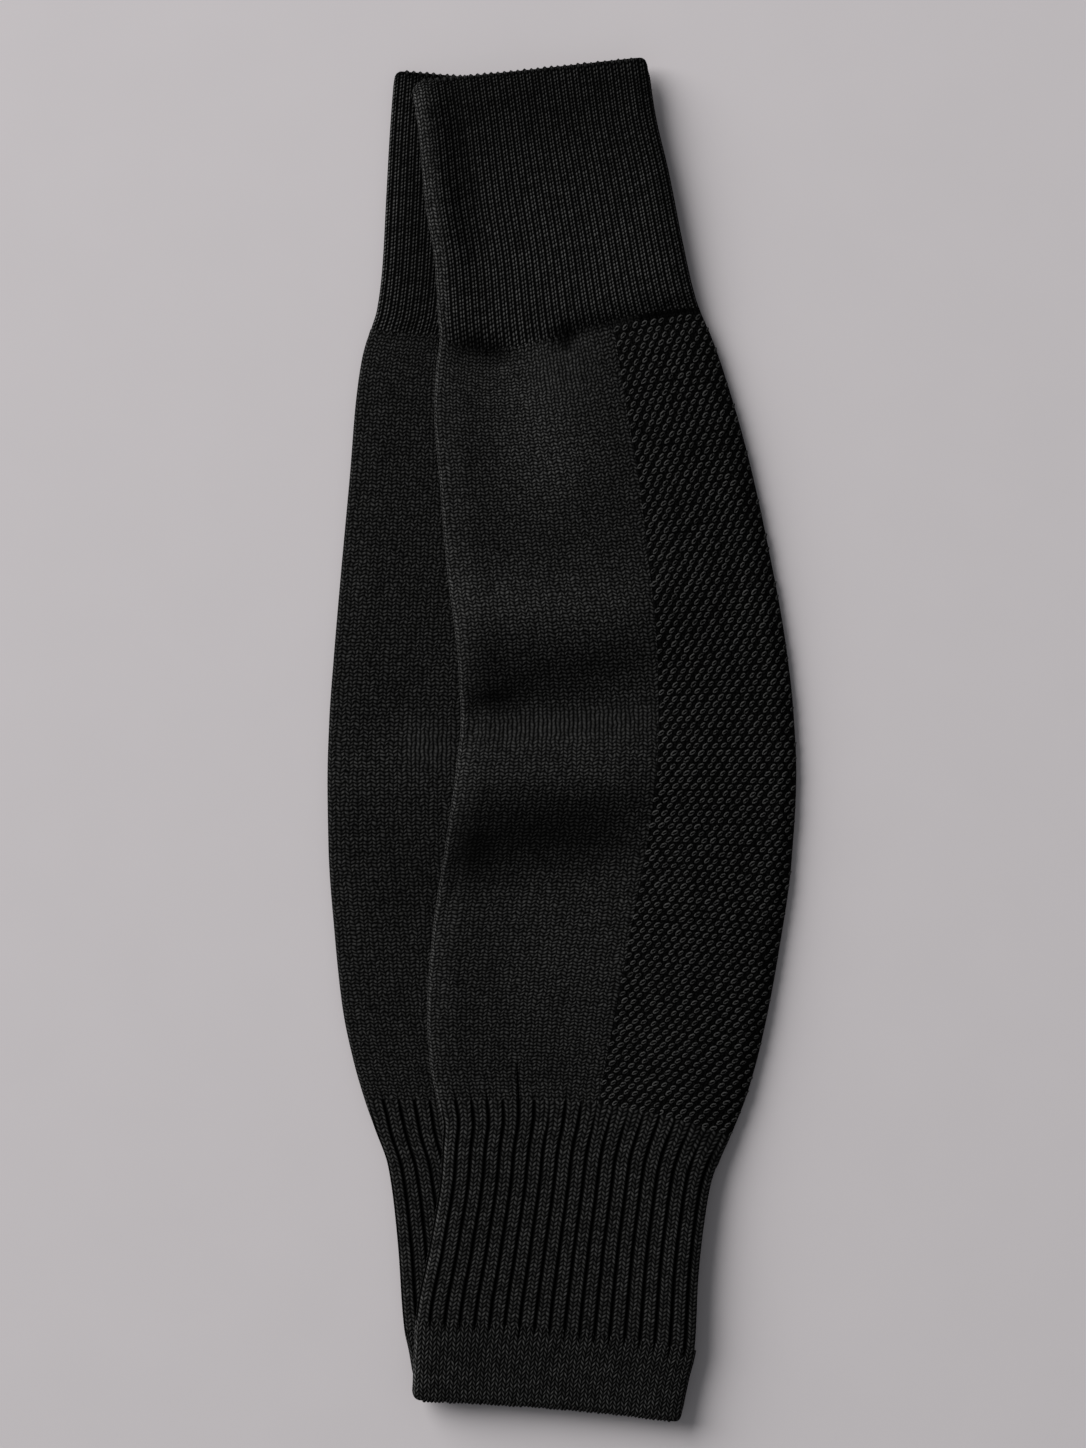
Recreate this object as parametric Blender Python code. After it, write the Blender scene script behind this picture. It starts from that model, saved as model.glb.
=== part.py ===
"""A pair of footless football sock sleeves, laid flat with one lying over the other."""
import math

import bmesh
import bpy
import numpy as np

# Sizes in millimetres, X to the right, Y towards the top cuff, Z up. The pair rests on Z = 0.
MM = 0.001
SEAM = 0.15  # half the gap where two zones meet
LAY = 0.3  # gap between the upper sleeve and the lower one
DROP_START = 0.0  # the upper sleeve leaves the lower one this far past its right fold
DROP = 34.0  # and comes down to the floor over this width

# Courses of knitting from the top rim to the hem rim: where the course meets the left and the
# right fold, how far it sags between them and where it sags most, how far across the honeycomb
# panel starts, and how far the top layer stands off the under layer.
COURSE = ("name", "left_x", "left_y", "right_x", "right_y", "sag", "sag_at", "panel", "puff")
UPPER_ROWS = (
    ("rim", -40.6, 183.5, 22.7, 190.6, 0.3, 0.5, 0.67, 0.2),
    ("rim_corner", -41.9, 181.5, 24.4, 187.0, 0.3, 0.5, 0.67, 0.4),
    ("cuff_1", -40.0, 169.0, 26.0, 175.8, 0.4, 0.5, 0.67, 0.7),
    ("cuff_2", -38.4, 151.1, 30.0, 158.4, 0.8, 0.4, 0.67, 0.7),
    ("cuff_3", -35.4, 131.5, 33.7, 139.9, 2.5, 0.3, 0.67, 0.6),
    ("cuff_4", -34.6, 117.5, 37.0, 125.4, 4.2, 0.27, 0.67, 0.8),
    ("cuff_end", -34.2, 112.5, 38.4, 121.0, 5.3, 0.25, 0.665, 0.1),
    ("calf_1", -35.2, 103.5, 42.3, 111.9, 4.8, 0.28, 0.655, 0.9),
    ("calf_2", -35.7, 91.5, 46.6, 99.3, 3.4, 0.32, 0.647, 1.5),
    ("calf_3", -34.2, 72.7, 52.2, 79.7, 2.0, 0.4, 0.637, 1.9),
    ("calf_4", -32.2, 48.1, 58.0, 53.7, 0.6, 0.5, 0.622, 2.0),
    ("calf_5", -29.1, 22.3, 62.9, 26.5, 0.0, 0.5, 0.604, 1.8),
    ("calf_6", -28.3, 5.5, 65.0, 7.8, 0.0, 0.5, 0.591, 1.7),
    ("calf_7", -29.7, -9.0, 65.8, -9.0, -0.3, 0.5, 0.586, 1.7),
    ("calf_8", -32.8, -30.9, 64.5, -33.7, -1.1, 0.5, 0.576, 1.6),
    ("calf_9", -36.1, -53.3, 60.9, -59.4, -2.2, 0.55, 0.566, 1.6),
    ("calf_10", -37.7, -75.7, 55.8, -85.5, -3.6, 0.57, 0.558, 1.4),
    ("calf_11", -37.0, -89.7, 51.6, -100.3, -4.5, 0.58, 0.552, 1.0),
    ("ankle", -35.0, -100.3, 47.3, -111.1, -4.8, 0.58, 0.548, 0.2),
    ("ankle_1", -33.3, -108.7, 43.7, -119.4, -4.5, 0.58, 0.54, 0.3),
    ("ankle_2", -33.7, -119.4, 41.2, -130.0, -3.6, 0.58, 0.54, 0.4),
    ("ankle_3", -37.0, -140.9, 38.7, -150.7, -2.5, 0.58, 0.54, 0.4),
    ("hem", -40.9, -161.9, 37.6, -170.6, -2.0, 0.55, 0.54, 0.1),
    ("hem_1", -41.4, -170.9, 35.7, -178.2, -1.4, 0.55, 0.54, 0.3),
    ("hem_corner", -41.8, -181.0, 33.9, -187.1, -1.1, 0.55, 0.54, 0.2),
    ("hem_rim", -40.3, -184.3, 31.4, -190.6, -1.0, 0.55, 0.54, 0.1),
)
LOWER_ROWS = (
    ("rim", -44.8, 187.5, 16.8, 181.9, 0.0, 0.5, 0.67, 0.0),
    ("rim_corner", -46.3, 185.8, 19.0, 179.7, 0.0, 0.5, 0.67, 0.0),
    ("cuff_1", -47.9, 169.0, 20.2, 165.1, 0.0, 0.5, 0.67, 0.1),
    ("cuff_2", -49.1, 151.1, 21.3, 147.2, 0.0, 0.5, 0.67, 0.1),
    ("cuff_3", -50.2, 132.9, 20.2, 129.6, 0.3, 0.4, 0.67, 0.1),
    ("cuff_4", -52.2, 120.3, 20.0, 117.3, 0.9, 0.3, 0.67, 0.1),
    ("cuff_end", -53.8, 115.1, 19.6, 112.5, 1.1, 0.3, 0.665, 0.0),
    ("calf_1", -56.0, 107.4, 21.3, 104.6, 0.8, 0.3, 0.655, 0.3),
    ("calf_2", -57.8, 95.1, 23.5, 92.3, 0.6, 0.3, 0.647, 0.5),
    ("calf_3", -59.4, 75.5, 25.8, 73.3, 0.3, 0.4, 0.637, 0.5),
    ("calf_4", -61.9, 48.1, 27.4, 46.4, 0.0, 0.5, 0.622, 0.5),
    ("calf_5", -64.1, 22.3, 28.6, 21.2, 0.0, 0.5, 0.604, 0.5),
    ("calf_6", -65.3, 5.5, 29.4, 5.0, 0.0, 0.5, 0.591, 0.5),
    ("calf_7", -65.8, -11.3, 29.7, -11.3, 0.0, 0.5, 0.586, 0.5),
    ("calf_8", -65.5, -30.9, 30.2, -29.8, 0.0, 0.5, 0.576, 0.5),
    ("calf_9", -63.9, -53.3, 30.8, -52.2, 0.0, 0.5, 0.566, 0.5),
    ("calf_10", -61.5, -75.7, 29.7, -75.1, 0.0, 0.57, 0.558, 0.5),
    ("calf_11", -58.6, -89.7, 28.6, -90.2, 0.0, 0.58, 0.552, 0.3),
    ("ankle", -55.5, -100.6, 26.9, -102.6, 0.0, 0.58, 0.548, 0.0),
    ("ankle_1", -52.6, -108.9, 25.2, -111.0, 0.0, 0.58, 0.54, 0.0),
    ("ankle_2", -48.8, -119.6, 26.0, -121.0, 0.0, 0.58, 0.54, 0.0),
    ("ankle_3", -46.1, -140.9, 28.6, -142.3, 0.0, 0.58, 0.54, 0.0),
    ("hem", -44.2, -165.8, 30.8, -166.7, 0.0, 0.55, 0.54, 0.0),
    ("hem_1", -43.0, -171.4, 30.8, -172.3, 0.0, 0.55, 0.54, 0.0),
    ("hem_corner", -41.8, -178.7, 30.2, -179.8, 0.0, 0.55, 0.54, 0.0),
    ("hem_rim", -40.3, -181.5, 28.6, -182.6, 0.0, 0.55, 0.54, 0.0),
)

# Soft ridges and troughs: middle, half length and half width, turn from +X, and rise.
FOLD = ("name", "x", "y", "along", "across", "turn", "rise")
UPPER_FOLDS = (
    ("roll at the cuff's left fold", -36.0, 158.0, 36.0, 4.2, -78, 1.5),
    ("channel beside the roll", -27.5, 160.0, 30.0, 3.6, -80, -1.0),
    ("rise at the top rim", -8.0, 190.0, 30.0, 13.0, 6, 1.3),
    ("pucker under the cuff, left", -25.5, 107.0, 9.0, 3.2, -12, -1.3),
    ("dimple under the cuff", -0.5, 110.5, 6.5, 2.6, 35, -1.3),
    ("trough under the cuff, right", 28.0, 117.5, 13.0, 2.8, 12, -1.0),
    ("rise under the cuff", 1.0, 90.0, 22.0, 11.0, -60, 1.2),
    ("rise over the first wave", -5.0, 32.0, 32.0, 12.0, 0, 3.8),
    ("first trough", -5.0, 8.0, 28.0, 8.0, 1, -1.3),
    ("ridge between", -2.0, -12.5, 28.0, 8.5, -1, 3.3),
    ("second trough", -7.0, -38.0, 28.0, 8.0, 3, -1.3),
    ("rise under the second wave", 3.0, -66.0, 24.0, 15.0, -4, 0.9),
)
LOWER_FOLDS = (
    ("rise on the strip", -50.0, 40.0, 11.0, 20.0, 0, 0.3),
    ("trough on the strip", -49.0, 8.0, 11.0, 8.0, 4, -0.4),
    ("second trough on the strip", -50.0, -28.0, 11.0, 8.0, 2, -0.4),
)

# Zones of each sleeve: first and last course, rings to each listed course of the upper and of
# the lower sleeve, top wall in the grooves, rise of a rib, under wall, slit between the layers,
# ribs across the flat width, place of the first groove and a groove's share of the pitch.
ZONE = ("name", "first", "last", "upper", "lower", "wall", "rib", "under", "slit", "ribs", "groove", "share")
ZONES = (
    ("cuff", "rim", "cuff_end", 1, 1, 1.3, 0.5, 1.5, 0.4, 35.5, 0.015, 0.26),
    ("calf", "cuff_end", "ankle", 4, 1, 1.4, 0.0, 1.4, 0.6, 0, 0.0, 0.0),
    ("panel", "cuff_end", "ankle", 2, 1, 1.6, 0.0, 1.4, 0.4, 0, 0.0, 0.0),
    ("ankle", "ankle", "hem", 2, 1, 1.3, 0.7, 1.6, 0.4, 18.8, 0.053, 0.15),
    ("hem", "hem", "hem_rim", 1, 1, 1.6, 0.0, 1.6, 0.4, 0, 0.0, 0.0),
)
# Stretches across each face; the top face of a ribbed zone has three points to a groove instead.
STRETCH = ("zone", "top", "under", "inner_top", "inner_under")
STRETCHES = (
    ("cuff", 0, 8, 12, 8),
    ("calf", 12, 6, 8, 5),
    ("panel", 10, 8, 8, 8),
    ("ankle", 0, 8, 12, 8),
    ("hem", 20, 8, 12, 8),
)
FOLD_ANGLES = (0, 35, 65, 90)  # points round a fold edge, in degrees from its outermost point
INNER_EDGE = 1.2  # the slit tapers to its end over this width
# Share of the width within which grooves are cut, clear of the fold edges.
GROOVES_FROM = 0.04
# Share of the plain stretches that lies left of the drop, on a whole tube and on the panel.
BEFORE_DROP = {"cuff": 0.75, "ankle": 0.75, "hem": 0.75, "panel": 0.5}
EDGE_AT_DROP = 3.2  # the drop starts at least this far inside the right fold
# Height of the lower sleeve's top, ribs included, for the upper sleeve to lie on, by Y.
LOWER_TOP = (
    (-200, 3.6),
    (-173, 3.6),
    (-169, 4.0),
    (-99, 4.0),
    (-95, 3.4),
    (104, 3.4),
    (109, 3.7),
    (200, 3.7),
)
# The stand-off starts this far inside a fold and is full after the second width; folds need less.
RISE = {"upper": (1.0, 7.0), "lower": (1.5, 7.0)}
RIGHT_RISE = (0.3, 5.0)  # the same at the upper sleeve's right fold
FOLD_RISE = (0.5, 3.0)
PRESSED = (0.25, 0.25)  # share of the lower sleeve's width where its stand-off starts to fade, and over which
COLOURS = {"upper": (0.012, 0.012, 0.013, 1.0), "lower": (0.010, 0.010, 0.011, 1.0)}
ROUGH = {"cuff": 0.92, "calf": 0.9, "panel": 0.95, "ankle": 0.92, "hem": 0.9}


def table(columns, rows):
    return [dict(zip(columns, row)) for row in rows]


def curve(xs, ys, at):
    """A smooth line through the listed values that never runs past them."""
    xs = np.asarray(xs, float)
    ys = np.asarray(ys, float)
    step = np.diff(xs)
    slope = np.diff(ys) / step
    lean = np.zeros(len(xs))
    lean[0] = slope[0]
    lean[-1] = slope[-1]
    for i in range(1, len(xs) - 1):
        a = slope[i - 1]
        b = slope[i]
        if a * b > 0:
            one = 2 * step[i] + step[i - 1]
            two = step[i] + 2 * step[i - 1]
            lean[i] = (one + two) / (one / a + two / b)
    k = np.clip(np.searchsorted(xs, at, side="right") - 1, 0, len(xs) - 2)
    u = (at - xs[k]) / step[k]
    return (
        (1 + 2 * u) * (1 - u) ** 2 * ys[k]
        + u * (1 - u) ** 2 * step[k] * lean[k]
        + u * u * (3 - 2 * u) * ys[k + 1]
        + u * u * (u - 1) * step[k] * lean[k + 1]
    )


def soft(u):
    """0 up to u = 0, 1 from u = 1, smooth between."""
    u = np.clip(u, 0.0, 1.0)
    return u * u * (3 - 2 * u)


def folds(rows, x, y):
    """Rise of all the listed ridges and troughs at a point of the plan."""
    total = np.zeros_like(x)
    for fold in table(FOLD, rows):
        c = math.cos(math.radians(fold["turn"]))
        s = math.sin(math.radians(fold["turn"]))
        along = ((x - fold["x"]) * c + (y - fold["y"]) * s) / fold["along"]
        across = ((y - fold["y"]) * c - (x - fold["x"]) * s) / fold["across"]
        total += fold["rise"] * np.exp(-(along**4) - across * across)
    return total


class Sleeve:
    """The courses of one sleeve as smooth lines, met by how far down and how far across."""

    def __init__(self, name, rows, fold_rows):
        self.name = name
        self.fold_rows = fold_rows
        rows = table(COURSE, rows)
        self.top = (rows[0]["left_y"] + rows[0]["right_y"]) / 2
        self.downs = np.array([self.top - (r["left_y"] + r["right_y"]) / 2 for r in rows])
        self.at_row = {r["name"]: d for r, d in zip(rows, self.downs)}
        self.columns = {c: np.array([r[c] for r in rows]) for c in COURSE[1:]}

    def read(self, column, down):
        return curve(self.downs, self.columns[column], down)

    def width(self, down):
        x = self.read("right_x", down) - self.read("left_x", down)
        y = self.read("right_y", down) - self.read("left_y", down)
        return np.hypot(x, y)

    def place(self, down, across):
        """X and Y of a point of the flat sleeve."""
        lx, ly = self.read("left_x", down), self.read("left_y", down)
        rx, ry = self.read("right_x", down), self.read("right_y", down)
        peak = self.read("sag_at", down)
        t = np.clip(across, 0.0, 1.0)
        more = peak / (1 - peak)
        shape = np.where(
            peak < 0.5,
            t * (1 - t) ** (1 / more) / (peak * (1 - peak) ** (1 / more)),
            t**more * (1 - t) / (peak**more * (1 - peak)),
        )
        sag = self.read("sag", down) * shape
        return lx + (rx - lx) * across, ly + (ry - ly) * across - sag

    def stand_off(self, down, across, x, y):
        """How far the top layer stands off at a point, folds included."""
        width = self.width(down)
        left = across * width
        right = (1 - across) * width
        start, full = RISE[self.name]
        edge = soft((left - start) / full)
        near = edge
        if self.name == "upper":
            edge = edge * soft((right - RIGHT_RISE[0]) / RIGHT_RISE[1])
            near = soft((left - FOLD_RISE[0]) / FOLD_RISE[1]) * soft((right - FOLD_RISE[0]) / FOLD_RISE[1])
        else:
            edge = edge * (1 - soft((across - PRESSED[0]) / PRESSED[1]))
        return np.maximum(self.read("puff", down) * edge + folds(self.fold_rows, x, y) * near, 0.0)


UPPER = Sleeve("upper", UPPER_ROWS, UPPER_FOLDS)
LOWER = Sleeve("lower", LOWER_ROWS, LOWER_FOLDS)


def fold_line(sleeve, side, y):
    """X of a sleeve's left or right fold at a given Y."""
    ys = sleeve.columns[side + "_y"]
    order = np.argsort(ys)
    return np.interp(y, ys[order], sleeve.columns[side + "_x"][order])


def lower_top(x, y):
    """Height that the upper sleeve lies at: the lower sleeve's top, then down to the floor."""
    left = fold_line(LOWER, "left", y)
    right = fold_line(LOWER, "right", y)
    across = np.clip((x - left) / (right - left), 0.0, 1.0)
    down = np.clip(LOWER.top - y, 0.0, LOWER.downs[-1])
    away = soft((x - right - DROP_START) / DROP)
    plain = np.interp(y, *zip(*LOWER_TOP))
    return (plain + LOWER.stand_off(down, across, x, y) + LAY) * (1 - away)


def base(sleeve, x, y):
    return lower_top(x, y) if sleeve is UPPER else np.zeros_like(x)


def edge_points(half):
    """A fold edge from its outermost point inwards: share, panel share, offset, lift, crest."""
    angles = [math.radians(a) for a in FOLD_ANGLES]
    return [(0.0, 0.0, half * (1 - math.cos(a)), math.sin(a), 1.0) for a in angles]


def groove_points(zone):
    """Three points to a groove across a ribbed face: crest, bottom and crest."""
    points = []
    groove = zone["groove"]
    while groove < 1 - GROOVES_FROM / 2:
        for side, crest in ((-0.5, 1.0), (0.0, 0.0), (0.5, 1.0)):
            at = groove + side * zone["share"] / zone["ribs"]
            if GROOVES_FROM < at < 1 - GROOVES_FROM:
                points.append((at, 0.0, 0.0, 1.0, crest))
        groove += 1 / zone["ribs"]
    return points


def flat_points(zone, n, inset, ends):
    """Points across a flat face: share of the width, share of the panel's start, offset, lift
    and crest. The calf ends where the panel starts, and the two part along that line."""
    points = []
    for i in range(0 if ends else 1, n + 1 if ends else n):
        f = i / n
        if zone["name"] == "calf":
            points.append((0.0, f, inset * (1 - f) - SEAM * f, 1.0, 0.0))
        elif zone["name"] == "panel":
            points.append((f, 1 - f, SEAM * (1 - f) - inset * f, 1.0, 0.0))
        else:
            points.append((f, 0.0, inset * (1 - 2 * f), 1.0, 1.0))
    return points


def face_points(zone, kind, side):
    """Points of one face of a ring from left to right, on the outside or the inside."""
    stretches = next(row for row in table(STRETCH, STRETCHES) if row["zone"] == zone["name"])
    if kind == "inner":
        n = stretches["inner_" + side]
        middle = flat_points(zone, n, zone["wall"] + INNER_EDGE, True)
        left = [(0.0, 0.0, zone["wall"], 0.0, 0.0)]
    else:
        n = stretches[side]
        half = (zone["wall"] + zone["slit"] + zone["under"]) / 2
        left = edge_points(half)
        middle = flat_points(zone, n, half, False) if n else groove_points(zone)
        if zone["name"] == "calf":
            middle.append((0.0, 1.0, -SEAM, 1.0, 0.0))
        if zone["name"] == "panel":
            middle.insert(0, (0.0, 1.0, SEAM, 1.0, 0.0))
    right = [(1.0, 0.0, -p[2], p[3], p[4]) for p in reversed(left)]
    if zone["name"] == "calf":
        return left + middle
    if zone["name"] == "panel":
        return middle + right
    return left + middle + right


def to_drop(zone, down, across, start):
    """Moves the plain points of the upper sleeve so that one of them is where its drop starts."""
    lx, rx, y = (float(UPPER.read(c, down)[0]) for c in ("left_x", "right_x", "right_y"))
    low = start if zone["name"] == "panel" else 0.0
    drop = min((fold_line(LOWER, "right", y) + DROP_START - lx) / (rx - lx), 1 - EDGE_AT_DROP / (rx - lx))
    drop = (drop - low) / (1 - low)
    mark = BEFORE_DROP[zone["name"]]
    f = (across - low) / (1 - low)
    f = np.where(f <= mark, f / mark * drop, drop + (f - mark) / (1 - mark) * (1 - drop))
    return low + f * (1 - low)


def face(sleeve, zone, down, nudge, kind, side):
    """Points in space of one face of a ring."""
    picks = np.array(face_points(zone, kind, side))
    share, panel, offset, lift, crest = picks.T
    down = np.full(len(picks), down)
    start = sleeve.read("panel", down)
    across = share + panel * start
    ribbed = zone["ribs"] and (kind, side) == ("outer", "top")
    if sleeve is UPPER and zone["name"] in BEFORE_DROP and not ribbed:
        across = to_drop(zone, down[:1], across, start[0])
    across = across + offset / sleeve.width(down)
    x, y = sleeve.place(down, across)
    y = y + nudge
    z = base(sleeve, x, y)
    half = (zone["wall"] + zone["slit"] + zone["under"]) / 2
    slit = zone["slit"] / 2
    if side == "under":
        z = z + (half * (1 - lift) if kind == "outer" else zone["under"] + slit * (1 - lift))
    elif kind == "outer":
        z = z + half + lift * (half + sleeve.stand_off(down, across, x, y) + crest * zone["rib"])
    else:
        z = z + zone["under"] + slit + lift * (slit + sleeve.stand_off(down, across, x, y))
    return list(zip(x, y, z))


def joined(zone, top, under):
    """One path round the ring from the two faces; the shared end points are kept once."""
    if zone["name"] == "calf":
        return top[::-1] + under[1:]
    if zone["name"] == "panel":
        return top + under[::-1][1:]
    return top + under[::-1][1:-1]


def lengths(points, closed):
    """Share of a path's length that lies before each of its points."""
    out = [0.0]
    for a, b in zip(points, points[1:] + points[:1] if closed else points[1:]):
        out.append(out[-1] + math.dist(a, b))
    return [v / out[-1] for v in out]


def zip_faces(a, b, pa, pb, closed):
    """Triangles between two paths of different counts, taken in step along both."""
    la = lengths(pa, closed)
    lb = lengths(pb, closed)
    na = len(la) - 1
    nb = len(lb) - 1
    i = 0
    j = 0
    faces = []
    while i < na or j < nb:
        if j == nb or (i < na and la[i + 1] <= lb[j + 1]):
            faces.append((a[i % len(a)], a[(i + 1) % len(a)], b[j % len(b)]))
            i += 1
        else:
            faces.append((a[i % len(a)], b[(j + 1) % len(b)], b[j % len(b)]))
            j += 1
    return faces


def ring_downs(sleeve, zone):
    """How far down each ring is: at every listed course of the zone, and evenly between."""
    first = sleeve.at_row[zone["first"]]
    last = sleeve.at_row[zone["last"]]
    listed = [d for d in sleeve.downs if first <= d <= last]
    n = zone[sleeve.name]
    downs = [a + (b - a) * i / n for a, b in zip(listed, listed[1:]) for i in range(n)]
    return downs + [last]


def build_zone(sleeve, zone):
    """Points and faces of one zone: a wall with an outside and an inside, closed at its ends."""
    closed = zone["name"] not in ("calf", "panel")
    downs = ring_downs(sleeve, zone)
    verts = []
    rings = []
    for i, down in enumerate(downs):
        nudge = 0.0
        if i == 0 and zone["first"] != "rim":
            nudge = -SEAM
        if i == len(downs) - 1 and zone["last"] != "hem_rim":
            nudge = SEAM
        pair = []
        for kind in ("outer", "inner"):
            top, under = (face(sleeve, zone, down, nudge, kind, side) for side in ("top", "under"))
            path = joined(zone, top, under)
            pair.append((list(range(len(verts), len(verts) + len(path))), path))
            verts.extend(path)
        rings.append(pair)
    faces = []
    for near, far in zip(rings, rings[1:]):
        for kind in (0, 1):
            a = near[kind][0]
            b = far[kind][0]
            for k in range(len(a) if closed else len(a) - 1):
                m = (k + 1) % len(a)
                faces.append((a[k], a[m], b[m], b[k]))
        if not closed:
            for end in (0, -1):
                faces.append((near[0][0][end], near[1][0][end], far[1][0][end], far[0][0][end]))
    for end in (rings[0], rings[-1]):
        faces.extend(zip_faces(end[0][0], end[1][0], end[0][1], end[1][1], closed))
    return verts, faces


def make_material(name, colour, rough):
    material = bpy.data.materials.new(name)
    material.use_nodes = True
    shader = material.node_tree.nodes["Principled BSDF"]
    shader.inputs["Base Color"].default_value = colour
    shader.inputs["Roughness"].default_value = rough
    return material


def make_object(name, verts, faces, material):
    mesh = bpy.data.meshes.new(name)
    mesh.from_pydata([tuple(c * MM for c in v) for v in verts], [], faces)
    body = bmesh.new()
    body.from_mesh(mesh)
    bmesh.ops.triangulate(body, faces=body.faces)
    bmesh.ops.recalc_face_normals(body, faces=body.faces)
    body.to_mesh(mesh)
    body.free()
    mesh.materials.append(material)
    mesh.polygons.foreach_set("use_smooth", [True] * len(mesh.polygons))
    obj = bpy.data.objects.new(name, mesh)
    bpy.context.scene.collection.objects.link(obj)
    return obj


def main():
    for obj in list(bpy.data.objects):
        bpy.data.objects.remove(obj)
    for sleeve in (UPPER, LOWER):
        for zone in table(ZONE, ZONES):
            name = f"{sleeve.name}_{zone['name']}"
            verts, faces = build_zone(sleeve, zone)
            material = make_material(name + "_knit", COLOURS[sleeve.name], ROUGH[zone["name"]])
            make_object(name, verts, faces, material)


main()
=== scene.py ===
"""A pair of football sock sleeves knitted in black yarn, laid flat with one lying over the other.

The tables are in millimetres: X to the right, Y towards the top cuff, Z up from the floor."""
import math
from types import SimpleNamespace

import bpy
import numpy as np
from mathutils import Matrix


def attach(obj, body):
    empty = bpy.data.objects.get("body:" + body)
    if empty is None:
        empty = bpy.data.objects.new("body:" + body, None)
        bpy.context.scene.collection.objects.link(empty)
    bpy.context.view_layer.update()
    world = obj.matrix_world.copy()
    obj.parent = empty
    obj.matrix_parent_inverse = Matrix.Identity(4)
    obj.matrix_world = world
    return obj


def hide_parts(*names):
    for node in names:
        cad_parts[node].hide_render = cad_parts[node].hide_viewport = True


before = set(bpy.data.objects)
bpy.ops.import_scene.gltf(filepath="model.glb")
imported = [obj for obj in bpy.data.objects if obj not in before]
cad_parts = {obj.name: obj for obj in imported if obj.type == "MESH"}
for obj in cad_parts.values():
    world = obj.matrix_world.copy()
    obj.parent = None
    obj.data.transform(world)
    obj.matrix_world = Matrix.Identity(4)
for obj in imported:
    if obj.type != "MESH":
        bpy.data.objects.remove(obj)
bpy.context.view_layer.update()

MM = 0.001
QUARTER = math.pi / 2
LAY = 0.3  # gap between the upper sleeve and the lower one
DROP = 34.0  # the upper sleeve comes down to the floor over this width past the lower one's fold
# Radius of the corners at the top rim and at the hem rim, left and right.
CORNERS = {"upper": ((4.2, 2.2), (2.2, 2.0)), "lower": ((2.4, 2.4), (2.4, 2.4))}
CORNER_DEPTH = 5.0  # their rounding fades out this far from the rim
INNER_EDGE = 1.2  # the slit between the layers tapers to its end over this width

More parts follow.
